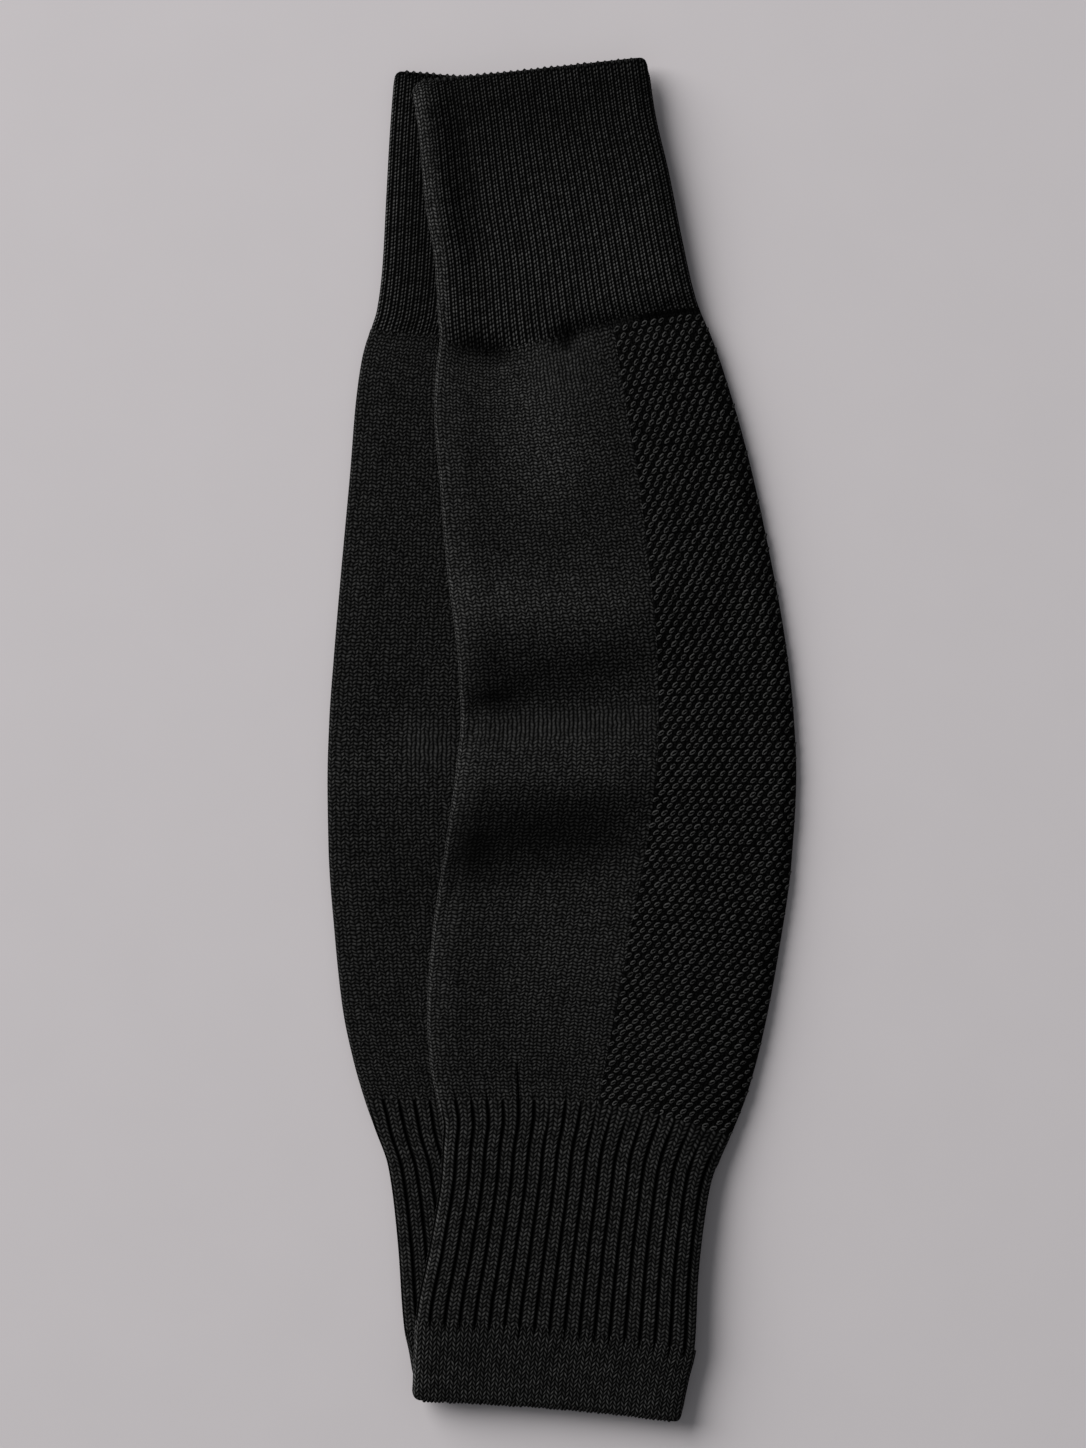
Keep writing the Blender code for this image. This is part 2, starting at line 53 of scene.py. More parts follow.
# Courses of knitting from the top rim to the hem rim: name, how far across the honeycomb panel
# starts, then for the upper and for the lower sleeve where the course meets the left and the right
# fold, how far it sags between them and where most, and how far the top layer stands off.
COURSE = "left_x left_y right_x right_y sag sag_at puff"
COURSES = (
    ("rim", 0.67, (-42.2, 183.5, 23.9, 190.6, 0.3, 0.5, 0.2), (-47.1, 187.5, 18.9, 181.9, 0, 0.5, 0)),
    ("rim_2", 0.67, (-41.9, 181.5, 24.4, 187, 0.3, 0.5, 0.4), (-47.3, 185.8, 19, 179.7, 0, 0.5, 0)),
    ("cuff_1", 0.67, (-40, 169, 26, 175.8, 0.4, 0.5, 0.7), (-48.6, 169, 20.2, 165.1, 0, 0.5, 0.1)),
    ("cuff_2", 0.67, (-38.4, 151.1, 30, 158.4, 0.8, 0.4, 0.7), (-49.6, 151.1, 21.3, 147.2, 0, 0.5, 0.1)),
    ("cuff_3", 0.67, (-35.4, 131.5, 33.7, 139.9, 2.5, 0.3, 0.6), (-50.6, 132.9, 20.2, 129.6, 0.3, 0.4, 0.1)),
    ("cuff_4", 0.67, (-34.6, 117.5, 37, 125.4, 4.2, 0.27, 0.8), (-52.2, 120.3, 20, 117.3, 0.9, 0.3, 0.1)),
    ("cuff_end", 0.665, (-34.2, 112.5, 38.4, 121, 5.3, 0.25, 0.1), (-53.8, 115.1, 19.6, 112.5, 1.1, 0.3, 0)),
    ("leg_1", 0.655, (-35.2, 103.5, 42.3, 111.9, 4.8, 0.28, 0.9), (-56, 107.4, 21.3, 104.6, 0.8, 0.3, 0.3)),
    ("leg_2", 0.647, (-35.7, 91.5, 46.6, 99.3, 3.4, 0.32, 1.5), (-57.8, 95.1, 23.5, 92.3, 0.6, 0.3, 0.5)),
    ("leg_3", 0.637, (-34.2, 72.7, 52.2, 79.7, 2, 0.4, 1.9), (-59.4, 75.5, 25.8, 73.3, 0.3, 0.4, 0.5)),
    ("leg_4", 0.622, (-32.2, 48.1, 58, 53.7, 0.6, 0.5, 2), (-61.9, 48.1, 27.4, 46.4, 0, 0.5, 0.5)),
    ("leg_5", 0.604, (-29.1, 22.3, 62.9, 26.5, 0, 0.5, 1.8), (-64.1, 22.3, 28.6, 21.2, 0, 0.5, 0.5)),
    ("leg_6", 0.591, (-28.3, 5.5, 65, 7.8, 0, 0.5, 1.7), (-65.3, 5.5, 29.4, 5, 0, 0.5, 0.5)),
    ("leg_7", 0.586, (-29.7, -9, 65.8, -9, -0.3, 0.5, 1.7), (-65.8, -11.3, 29.7, -11.3, 0, 0.5, 0.5)),
    ("leg_8", 0.576, (-32.8, -30.9, 64.5, -33.7, -1.1, 0.5, 1.6), (-65.5, -30.9, 30.2, -29.8, 0, 0.5, 0.5)),
    ("leg_9", 0.566, (-36.1, -53.3, 60.9, -59.4, -2.2, 0.55, 1.6), (-63.9, -53.3, 30.8, -52.2, 0, 0.5, 0.5)),
    ("leg_10", 0.558, (-37.7, -75.7, 55.8, -85.5, -3.6, 0.57, 1.4), (-61.5, -75.7, 29.7, -75.1, 0, 0.57, 0.5)),
    ("leg_11", 0.552, (-37, -89.7, 51.6, -100.3, -4.5, 0.58, 1), (-58.6, -89.7, 28.6, -90.2, 0, 0.58, 0.3)),
    ("ankle", 0.548, (-35, -100.3, 47.3, -111.1, -4.8, 0.58, 0.2), (-55.5, -100.6, 26.9, -102.6, 0, 0.58, 0)),
    ("rib_1", 0.54, (-33.3, -108.7, 43.7, -119.4, -4.5, 0.58, 0.3), (-52.6, -108.9, 25.2, -111, 0, 0.58, 0)),
    ("rib_2", 0.54, (-33.7, -119.4, 41.2, -130, -3.6, 0.58, 0.4), (-48.8, -119.6, 26, -121, 0, 0.58, 0)),
    ("rib_3", 0.54, (-37, -140.9, 38.7, -150.7, -2.5, 0.58, 0.4), (-46.1, -140.9, 28.6, -142.3, 0, 0.58, 0)),
    ("hem", 0.54, (-40.9, -161.9, 37.6, -170.6, -2, 0.55, 0.1), (-44.2, -165.8, 30.8, -166.7, 0, 0.55, 0)),
    ("hem_1", 0.54, (-41.4, -170.9, 35.7, -178.2, -1.4, 0.55, 0.3), (-43, -171.4, 30.8, -172.3, 0, 0.55, 0)),
    ("hem_2", 0.54, (-41.8, -181, 33.9, -187.1, -1.1, 0.55, 0.2), (-41.8, -178.7, 30.2, -179.8, 0, 0.55, 0)),
    ("hem_rim", 0.54, (-41.9, -184.3, 33.4, -190.6, -1, 0.55, 0.1), (-41.4, -181.5, 30.1, -182.6, 0, 0.55, 0)),
)

# Soft ridges and troughs: middle, half length and half width, turn from +X, and rise.
FOLD = "name x y along across turn rise"
UPPER_FOLDS = (
    ("roll at the cuff's left fold", -36, 158, 36, 4.2, -78, 1.5),
    ("channel beside the roll", -27.5, 160, 30, 3.6, -80, -1),
    ("rise at the top rim", -8, 190, 30, 13, 6, 1.3),
    ("pucker under the cuff, left", -25.5, 107, 9, 3.2, -12, -1.3),
    ("dimple under the cuff", 0.7, 111.5, 5, 2.4, 60, -1.3),
    ("trough under the cuff, right", 28, 117.5, 13, 2.8, 12, -1),
    ("rise under the cuff", 1, 90, 22, 11, -60, 1.2),
    ("rise over the first wave", -5, 32, 32, 12, 0, 3.8),
    ("first trough", -5, 8, 28, 8, 1, -1.3),
    ("ridge between", -2, -12.5, 28, 8.5, -1, 3.3),
    ("second trough", -7, -38, 28, 8, 3, -1.3),
    ("rise under the second wave", 3, -66, 24, 15, -4, 0.9),
)
LOWER_FOLDS = (
    ("rise on the strip", -50, 40, 11, 20, 0, 0.3),
    ("trough on the strip", -49, 8, 11, 8, 4, -0.4),
    ("second trough on the strip", -50, -28, 11, 8, 2, -0.4),
)

# Patches where the knit is painted lighter or darker, in the columns of FOLD with the share as the
# rise: painted light where a rise, the roll or a fold's edge faces the light, and painted shade in
# hollows, troughs, falls, puckers and seams, beside the folds and behind the roll's corner.
UPPER_PAINTED_LIGHT = (
    ("closed knit of the roll", -37, 160, 36, 4.5, -78, 0.08),
    ("hollow beside the roll", -27.5, 162, 30, 4, -80, -0.4),
    ("top corner of the roll", -38.5, 180, 6, 3.5, 20, 0.35),
    ("under the top rim", -2, 180, 32, 16, 6, -0.32),
    # painted light over the middle of the cuff
    ("painted light over the cuff", 6, 135, 34, 20, 4, 0.3),
    ("pucker under the cuff", -22.5, 109.6, 9, 3.2, -10, -0.8),
    ("seam on the right of the cuff", 20, 117.9, 17, 2, 9, -0.75),
    ("middle of the seam", -9.5, 110.5, 7, 3, 0, 0.5),
    ("dimple under the cuff", 1.3, 112.4, 4, 2.6, 70, -0.9),
    ("bright calf", -7, 84, 20, 14, -75, 0.7),
    ("first rise", -6, 37, 28, 10, 0, 0.35),
    ("first fall", -4, 18, 26, 6, 13, -0.38),
    ("first fall at the fold", -24, 24, 8, 9, 0, -0.25),
    ("low end of the first fall", -20.5, 11.5, 9, 3.2, 8, -0.5),
    ("drawn knit under the first fall", 0, 4, 26, 5, 4, -0.12),
    ("ridge", -3, -5, 25, 8, 2, 0.1),
    ("second fall", -7, -26, 28, 9, 3, -0.68),
    ("end of the second fall", -29, -35, 11, 8, 30, -0.4),
    ("low calf", 2, -68, 18, 20, -10, 0.25),
    ("left fold of the ankle", -36, -125, 26, 2.6, 95, 0.1),
    ("left fold of the hem", -41, -170, 18, 3, 86, 0.15),
)
LOWER_PAINTED_LIGHT = (
    ("strip beside the upper calf", -50, 0, 16, 80, 0, -0.07),
    ("strip over the ridge", -52, -8, 14, 9, 0, 0.25),
    ("hollow beside the upper fold", -42, -40, 10, 14, 0, -0.2),
    ("cuff beside the upper fold", -41, 150, 36, 9, -86, -0.25),
    ("outer edge of the cuff", -48, 148, 34, 3.5, 86, 0.35),
    ("rim behind the roll's corner", -38, 186.5, 8, 2.5, 0, -0.5),
)
# Patches where the knit is drawn lengthwise, so that its columns show as fine lines, the same way.
UPPER_DRAWN = (
    ("under the first fall", 0, 4, 26, 5, 4, 0.9),
    ("under the cuff", 1, 103, 10, 11, 0, 0.5),
)
LOWER_DRAWN = (("strip beside the ridge", -37, -2, 7, 6.5, 0, 0.8),)

# Zones of a sleeve: finish, first and last course, top wall, under wall, slit between them, columns
# of the knit across the flat width, and height of a course.
ZONE = "name slot first last wall under slit columns course"
ZONES = (
    ("cuff", "cuff_rib", "rim", "cuff_end", 1.3, 1.5, 0.4, 35.5, 1.0),
    ("calf", "calf_knit", "cuff_end", "ankle", 1.4, 1.4, 0.6, 77, 1.05),
    ("panel", "honeycomb_knit", "cuff_end", "ankle", 1.6, 1.4, 0.4, 82, 0.98),
    ("ankle", "ankle_rib", "ankle", "hem", 1.3, 1.6, 0.4, 18.8, 1.17),
    ("hem", "hem_knit", "hem", "hem_rim", 1.6, 1.6, 0.4, 72.8, 1.25),
)
# Half the thickness of a flat sleeve and the rise of its ribs, past a named course.
THICKNESS = "course past half rise"
THICKNESSES = (
    ("rim", 0, 1.6, 0.5),
    ("cuff_end", -3, 1.6, 0.5),
    ("cuff_end", 2, 1.7, 0),
    ("ankle", -4, 1.7, 0),
    ("ankle", 3, 1.65, 0.7),
    ("hem", -1.5, 1.65, 0.7),
    ("hem", 1, 1.8, 0),
    ("hem_rim", 0, 1.8, 0),
)
# Ribs: number across the flat width, place of the first groove, half a groove's width in ribs and
# its depth, the courses between which the grooves run, how fast they fade in and out, how unevenly,
# and how many ribs further right they start than they run.
RIB = "zone count start half depth first last fade_in fade_out ragged drift"
RIBS = (
    ("cuff", 35.5, 0.015, 0.17, 0.6, "rim", "cuff_end", 0.1, 2.2, 3, 0),
    ("ankle", 18.8, 0.053, 0.09, 0.9, "ankle", "hem", 11, 2.5, 9, 0.24),
)
DRIFT_OVER = 15.0  # the drift fades out over this length
EARLY = 2.5  # the ankle's grooves fade in this far above its first course
NOTCH = 0.9  # and run on this far into the hem
RAGGED_END = {"cuff": 0.6, "ankle": 0.15}  # share of their unevenness that their lower ends keep
FIRST_GROOVE = (4, 9.0)  # number of the one that starts early on the upper sleeve, and how much
# The roll's knit is closed, with no ribs: its width at the rim and at the cuff's end, the width over
# which the ribs begin, and how light it is beside them.
CLOSED_KNIT = (4.6, 1.0)
CLOSED_FADE = 2.2
CLOSED_LIGHT = 0.55
FOLD_PAINTED_HIGHLIGHT = (1.2, 1.2)  # painted highlight along the upper sleeve's left fold: how much lighter, and over what width
RIM_SHADE = (0.45, 0.3, 1.3)  # how light a rim's edge is, where that fades from, and over what width
# The honeycomb starts with plain knit at its inner corner: how much lighter, how far down, and the
# shares of the width where it starts to fade and over which.
PLAIN_CORNER = (8.0, 3.2, 0.7, 0.09)
# Points across one rib, closer at its groove.
RIB_POINTS = {
    "cuff": (0.0, 0.07, 0.14, 0.22, 0.35, 0.5, 0.65, 0.78, 0.86, 0.93),
    "ankle": (0.0, 0.05, 0.1, 0.16, 0.25, 0.375, 0.5, 0.625, 0.75, 0.84, 0.9, 0.95),
}
# Height of the lower sleeve's top, ribs included, for the upper sleeve to lie on, by Y.
LOWER_TOP = (
    (-200, 3.6), (-173, 3.6), (-169, 4), (-99, 4), (-95, 3.4), (104, 3.4), (109, 3.7), (200, 3.7),
)
# The stand-off starts this far inside the left fold and is full after the second width.
RISE = {"upper": (1.0, 7.0), "lower": (1.5, 7.0)}
RIGHT_RISE = (0.3, 5.0)  # the same at the upper sleeve's right fold
FOLD_RISE = (0.5, 3.0)  # and for its ridges and troughs
PRESSED = (0.25, 0.25)  # shares of the lower sleeve's width where the stand-off fades from, and over
SPACING = {"upper": (0.4, 0.5), "lower": (0.7, 1.0)}  # between mesh points, across and down
UNDER_POINTS = (2, 8)  # steps round a fold and across, on the under face
INNER_POINTS = (2, 12)  # the same on the inside of the top face
NEAR_FOLD = 0.05  # a face that starts or ends within this share of the width has a fold there
CLEAR_OF_END = 0.002  # share of the width between a face's ends and the next points
RIM_TURNS = (0, 30, 50, 70, 90)  # degrees round a rim's edge at which there are rings
PAST_RIM = 1.3  # the even rings start this many radii inside a rim
SHARP_ANGLE = 60  # degrees between faces over which an edge isn't smoothed
LEAST_LIGHT = 0.05  # of what the knit has where no patch changes it


def table(columns, rows):
    """Each row as an object whose parts have the names in columns."""
    return [SimpleNamespace(**dict(zip(columns.split(), row))) for row in rows]


def curve(xs, ys, at):
    """A smooth line through the listed values that never runs past them."""
    xs = np.asarray(xs, float)
    ys = np.asarray(ys, float)
    step = np.diff(xs)
    slope = np.diff(ys) / step
    lean = np.zeros(len(xs))
    lean[0] = slope[0]
    lean[-1] = slope[-1]
    for i in range(1, len(xs) - 1):
        a = slope[i - 1]
        b = slope[i]
        if a * b > 0:
            one = 2 * step[i] + step[i - 1]
            two = step[i] + 2 * step[i - 1]
            lean[i] = (one + two) / (one / a + two / b)
    k = np.clip(np.searchsorted(xs, at, side="right") - 1, 0, len(xs) - 2)
    u = (at - xs[k]) / step[k]
    return (
        (1 + 2 * u) * (1 - u) ** 2 * ys[k]
        + u * (1 - u) ** 2 * step[k] * lean[k]
        + u * u * (3 - 2 * u) * ys[k + 1]
        + u * u * (u - 1) * step[k] * lean[k + 1]
    )


def soft(u):
    """0 up to u = 0, 1 from u = 1, smooth between."""
    u = np.clip(u, 0.0, 1.0)
    return u * u * (3 - 2 * u)


def uneven(n):
    """A fixed uneven number from 0 to 1 for each whole number."""
    return np.mod(np.sin(n * 78.233) * 43758.5453, 1.0)


def folds(rows, x, y):
    """Rise of all the listed ridges and troughs at a point of the plan."""
    total = np.zeros_like(x)
    for fold in table(FOLD, rows):
        c = math.cos(math.radians(fold.turn))
        s = math.sin(math.radians(fold.turn))
        along = ((x - fold.x) * c + (y - fold.y) * s) / fold.along
        across = ((y - fold.y) * c - (x - fold.x) * s) / fold.across
        total += fold.rise * np.exp(-(along**4) - across * across)
    return total


class Sleeve:
    """The courses of one sleeve as smooth lines, met by how far down and how far across."""

    def __init__(self, name, number, fold_rows, painted_light_rows, drawn_rows):
        self.name = name
        self.fold_rows = fold_rows
        self.painted_light_rows = painted_light_rows
        self.drawn_rows = drawn_rows
        rows = table(COURSE, [course[number] for course in COURSES])
        self.top = (rows[0].left_y + rows[0].right_y) / 2
        self.downs = np.array([self.top - (r.left_y + r.right_y) / 2 for r in rows])
        self.at_row = {course[0]: down for course, down in zip(COURSES, self.downs)}
        self.columns = {c: np.array([getattr(r, c) for r in rows]) for c in COURSE.split()}
        self.columns["panel"] = np.array([course[1] for course in COURSES])
        steps = table(THICKNESS, THICKNESSES)
        self.steps = [self.at_row[s.course] + s.past for s in steps]
        self.halves = [s.half for s in steps]
        self.rises = [s.rise for s in steps]

    def read(self, column, down):
        return curve(self.downs, self.columns[column], down)

    def half(self, down):
        return np.interp(down, self.steps, self.halves)

    def rise(self, down):
        return np.interp(down, self.steps, self.rises)

    def width(self, down):
        x = self.read("right_x", down) - self.read("left_x", down)
        y = self.read("right_y", down) - self.read("left_y", down)
        return np.hypot(x, y)

    def place(self, down, across):
        """X and Y of a point of the flat sleeve."""
        lx, ly = self.read("left_x", down), self.read("left_y", down)
        rx, ry = self.read("right_x", down), self.read("right_y", down)
        peak = self.read("sag_at", down)
        t = np.clip(across, 0.0, 1.0)
        more = peak / (1 - peak)
        shape = np.where(
            peak < 0.5,
            t * (1 - t) ** (1 / more) / (peak * (1 - peak) ** (1 / more)),
            t**more * (1 - t) / (peak**more * (1 - peak)),
        )
        sag = self.read("sag", down) * shape
        x = lx + (rx - lx) * across
        return x, ly + (ry - ly) * across - sag + self.corner(down, t)

    def corner(self, down, across):
        """How far the rounding of a rim's corners moves a point along the sleeve."""
        near = np.minimum(across, 1 - across) * self.width(down)
        move = 0.0
        for radii, way, inward in zip(CORNERS[self.name], (-1, 1), (down, self.downs[-1] - down)):
            size = np.where(across < 0.5, *radii)
            cut = size - np.sqrt(np.maximum(size**2 - np.maximum(size - near, 0.0) ** 2, 0.0))
            move = move + way * cut * (1 - soft(inward / CORNER_DEPTH))
        return move

    def stand_off(self, down, across, x, y):
        """How far the top layer stands off at a point, folds included."""
        width = self.width(down)
        left = across * width
        right = (1 - across) * width
        start, full = RISE[self.name]
        edge = soft((left - start) / full)
        near = edge
        if self.name == "upper":
            edge = edge * soft((right - RIGHT_RISE[0]) / RIGHT_RISE[1])
            near = soft((left - FOLD_RISE[0]) / FOLD_RISE[1]) * soft((right - FOLD_RISE[0]) / FOLD_RISE[1])
        else:
            edge = edge * (1 - soft((across - PRESSED[0]) / PRESSED[1]))
        return np.maximum(self.read("puff", down) * edge + folds(self.fold_rows, x, y) * near, 0.0)


UPPER = Sleeve("upper", 2, UPPER_FOLDS, UPPER_PAINTED_LIGHT, UPPER_DRAWN)
LOWER = Sleeve("lower", 3, LOWER_FOLDS, LOWER_PAINTED_LIGHT, LOWER_DRAWN)


def fold_line(sleeve, side, y):
    """X of a sleeve's left or right fold at a given Y."""
    ys = sleeve.columns[side + "_y"]
    order = np.argsort(ys)
    return np.interp(y, ys[order], sleeve.columns[side + "_x"][order])


def base(sleeve, x, y):
    """Height that a sleeve lies at: the floor, or the lower sleeve's top and then down to the floor."""
    if sleeve is LOWER:
        return np.zeros_like(x)
    left = fold_line(LOWER, "left", y)
    right = fold_line(LOWER, "right", y)
    across = np.clip((x - left) / (right - left), 0.0, 1.0)
    down = np.clip(LOWER.top - y, 0.0, LOWER.downs[-1])
    away = soft((x - right) / DROP)
    plain = np.interp(y, *zip(*LOWER_TOP))
    return (plain + LOWER.stand_off(down, across, x, y) + LAY) * (1 - away)


def drift(sleeve, rib, down):
    """How many ribs to the right of their places the grooves are."""
    return rib.drift * (1 - soft((down - sleeve.at_row[rib.first]) / DRIFT_OVER))


def grooves(sleeve, down, share):
    """Depth of the grooves between the ribs, and how far the ribs stand out, from 0 to 1."""
    depth = np.zeros(np.broadcast(down, share).shape)
    ribbed = np.zeros(depth.shape)
    closed = np.interp(down, [0.0, sleeve.at_row["cuff_end"]], CLOSED_KNIT)
    open_knit = soft((share * sleeve.width(down) - closed) / CLOSED_FADE)
    for rib in table(RIB, RIBS):
        turn = (share - rib.start) * rib.count - drift(sleeve, rib, down)
        number = np.round(turn)
        near = 1 - soft(np.abs(turn - number) / rib.half)
        ragged = rib.ragged * (uneven(number) - 0.5)
        starts = sleeve.at_row[rib.first] + (ragged - EARLY if rib.first != "rim" else 0.0)
        if rib.last == "hem" and sleeve is UPPER:
            starts = starts - FIRST_GROOVE[1] * (number == FIRST_GROOVE[0])
        stops = sleeve.at_row[rib.last] + ragged * RAGGED_END[rib.zone]
        if rib.last == "hem":
            stops = stops + NOTCH
        on = soft((down - starts) / rib.fade_in) * (1 - soft((down - stops) / rib.fade_out))
        if rib.first == "rim" and sleeve is UPPER:
            on = on * open_knit
        depth = depth + rib.depth * near * on
        ribbed = np.maximum(ribbed, on)
    return depth, ribbed


def shares(sleeve, zone, down, edge, bend):
    """Where a zone starts and ends across the flat width, on round the folds to their outermost line."""
    past = ((QUARTER - 1) * bend - edge) / sleeve.width(down)
    panel = sleeve.read("panel", down)
    first = panel if zone.name == "panel" else -past
    last = panel if zone.name == "calf" else 1 + past
    return first, last


def skin(sleeve, zone, down, share, side, inside, pinch):
    """X, Y and Z of the wall's outside or inside, on top (side 1) or underneath (side -1)."""
    width = sleeve.width(down)
    wall = zone.wall if side > 0 else zone.under
    half = sleeve.half(down)
    if inside:
        edge = zone.wall * (1 - pinch / 2)
        bend = INNER_EDGE
        centre = zone.under + zone.slit / 2
        thick = (zone.slit + pinch * wall) / 2
        lower = 0.0
    else:
        edge = zone.wall * pinch / 2
        bend = half
        centre = half
        thick = half - pinch * wall / 2
        lower = grooves(sleeve, down, share)[0] if side > 0 else 0.0
    reach = np.minimum(share, 1 - share) * width - edge + (QUARTER - 1) * bend
    turn = np.clip(reach / bend, 0.0, QUARTER)
    lift = np.sin(turn)
    offset = edge + bend * (1 - np.cos(turn)) + np.maximum(reach - bend * QUARTER, 0.0)
    offset = offset + lower * np.cos(turn)
    across = np.where(share < 0.5, offset, width - offset) / width
    x, y = sleeve.place(down, across)
    z = base(sleeve, x, y) + centre + side * lift * thick
    if side > 0:
        rise = 0.0 if inside else sleeve.rise(down) - lower
        z = z + lift * (sleeve.stand_off(down, across, x, y) + rise)
    return np.stack(np.broadcast_arrays(x, y, z), axis=-1)


def top_columns(sleeve, zone, downs, first, last):
    """Shares across the top face, one row for each ring."""
    if zone.name in RIB_POINTS:
        rib = next(r for r in table(RIB, RIBS) if r.zone == zone.name)
        marks = np.arange(-2, math.ceil(rib.count) + 2)[:, None] + np.array(RIB_POINTS[zone.name])
        marks = rib.start + (marks.ravel() + drift(sleeve, rib, downs)) / rib.count
        inside = marks.min(axis=0) > first.max() + CLEAR_OF_END
        inside &= marks.max(axis=0) < last.min() - CLEAR_OF_END
        return np.hstack([first, marks[:, inside], last])
    width = sleeve.width(sleeve.at_row["leg_7"])
    count = math.ceil((last - first).mean() * width / SPACING[sleeve.name][0])
    return first + (last - first) * np.linspace(0.0, 1.0, count + 1)


def plain_columns(first, last, width, bend, points):
    """Shares across a plain face: points round each fold that it has, then evenly between."""
    bends, flats = points
    arc = bend * QUARTER / width
    starts_folded = first.max() < NEAR_FOLD
    ends_folded = last.min() > 1 - NEAR_FOLD
    start = first + arc * starts_folded
    stop = last - arc * ends_folded
    parts = [start + (stop - start) * np.linspace(0.0, 1.0, flats + 1)]
    steps = np.linspace(0.0, 1.0, bends + 1)
    if starts_folded:
        parts.insert(0, first + steps[:-1] * arc)
    if ends_folded:
        parts.append(last + (steps[1:] - 1) * arc)
    return np.hstack(parts)


def ring_places(sleeve, zone):
    """How far down each ring is, and how far the wall's edge is rounded in there."""
    first = sleeve.at_row[zone.first]
    last = sleeve.at_row[zone.last]
    count = math.ceil((last - first) / SPACING[sleeve.name][1])
    downs = list(np.linspace(first, last, count + 1))
    radius = zone.wall / 2
    turns = [radius * (1 - math.cos(math.radians(a))) for a in RIM_TURNS]
    if zone.first == "rim":
        downs = [first + t for t in turns] + [d for d in downs if d > first + radius * PAST_RIM]
    if zone.last == "hem_rim":
        downs = [d for d in downs if d < last - radius * PAST_RIM] + [last - t for t in reversed(turns)]
    downs = np.array(downs)
    near = np.full(len(downs), radius)
    if zone.first == "rim":
        near = np.minimum(near, downs - first)
    if zone.last == "hem_rim":
        near = np.minimum(near, last - downs)
    pinch = 1 - np.sqrt(np.clip(1 - (1 - near / radius) ** 2, 0.0, 1.0))
    return downs[:, None], pinch[:, None]


def cloth_marks(sleeve, zone, downs, top):
    """Depth of the grooves, how ribbed and how light the knit is, over the top face: the knit's own tone at
    the closed knit and the plain corner, a painted highlight along the upper sleeve's left fold, and painted
    shade at the rims.
    """
    deep, ribbed = grooves(sleeve, downs, top)
    from_fold = np.maximum(top * sleeve.width(downs), 0.0)
    # painted highlight along the upper sleeve's left fold
    light = 1 + np.exp(-from_fold / FOLD_PAINTED_HIGHLIGHT[1]) * FOLD_PAINTED_HIGHLIGHT[0] * (sleeve is UPPER)
    least, start, fade = RIM_SHADE
    near = np.minimum(downs, sleeve.downs[-1] - downs)
    shade = (1 - least) * (1 - soft((near - start) / fade))
    if zone.name == "panel":
        more, reach, inner, corner_fade = PLAIN_CORNER
        corner = 1 - soft((downs - sleeve.at_row["cuff_end"]) / reach)
        corner = corner * (1 - soft((top - inner) / corner_fade))
        light = light * (1 + more * corner)
    if zone.name == "cuff":
        light = light * (CLOSED_LIGHT + (1 - CLOSED_LIGHT) * ribbed)
        shade = shade * ribbed
    return {"deep": deep, "ribbed": ribbed, "light": light * (1 - shade)}


def wall_path(sleeve, zone, downs, pinch, inside):
    """Points of every ring on one side of the wall, over the top and back underneath, with the
    knit's column and the cloth's marks at each."""
    edge = zone.wall * (1 - pinch / 2 if inside else pinch / 2)
    bend = INNER_EDGE if inside else sleeve.half(downs)
    first, last = shares(sleeve, zone, downs, edge, bend)
    width = sleeve.width(downs)
    under = plain_columns(first, last, width, bend, UNDER_POINTS)
    if inside:
        top = plain_columns(first, last, width, bend, INNER_POINTS)
    else:
        top = top_columns(sleeve, zone, downs, first, last)
    if zone.name == "panel":
        under = under[:, ::-1]
    else:
        top = top[:, ::-1]
    over = skin(sleeve, zone, downs, top, 1, inside, pinch)
    below = skin(sleeve, zone, downs, under, -1, inside, pinch)
    points = np.concatenate([over, below[:, 1:]], axis=1)
    column = np.hstack([top, 2 * top[:, -1:] - under[:, 1:]])
    for rib in table(RIB, RIBS):
        if rib.zone == zone.name:
            column = column - drift(sleeve, rib, downs) / rib.count
    marks = {}
    for name, value in cloth_marks(sleeve, zone, downs, top).items():
        plain = np.full((len(value), under.shape[1] - 1), 1.0 if name == "light" else 0.0)
        marks[name] = np.hstack([value, plain])
    if zone.name not in ("calf", "panel"):
        points = points[:, :-1]
        marks = {name: value[:, :-1] for name, value in marks.items()}
    return points, column, marks


def grid(rows, columns, start, closed):
    """Corners of the quads between rings: their points, and their places in the knit."""
    r, k = np.meshgrid(np.arange(rows - 1), np.arange(columns if closed else columns - 1), indexing="ij")
    m = k + 1
    corner = [(r, k), (r, m), (r + 1, m), (r + 1, k)]
    points = np.stack([start + a * columns + b % columns for a, b in corner], axis=-1)
    pairs = [np.stack(np.broadcast_arrays(a, b), axis=-1) for a, b in corner]
    return points.reshape(-1, 4), np.stack(pairs, axis=2).reshape(-1, 4, 2)


def zipped(a, b, closed):
    """Corners of the triangles between two paths of different counts, taken in step along both."""
    lengths = []
    for path in (a, b):
        path = np.vstack([path, path[:1]]) if closed else path
        run = np.concatenate([[0.0], np.cumsum(np.linalg.norm(np.diff(path, axis=0), axis=1))])
        lengths.append(run / run[-1])
    la, lb = lengths
    i = 0
    j = 0
    faces = []
    while i < len(la) - 1 or j < len(lb) - 1:
        if j == len(lb) - 1 or (i < len(la) - 1 and la[i + 1] <= lb[j + 1]):
            faces.append(((0, i + 1), (0, i), (1, j)))
            i += 1
        else:
            faces.append(((1, j), (1, j + 1), (0, i)))
            j += 1
    return faces


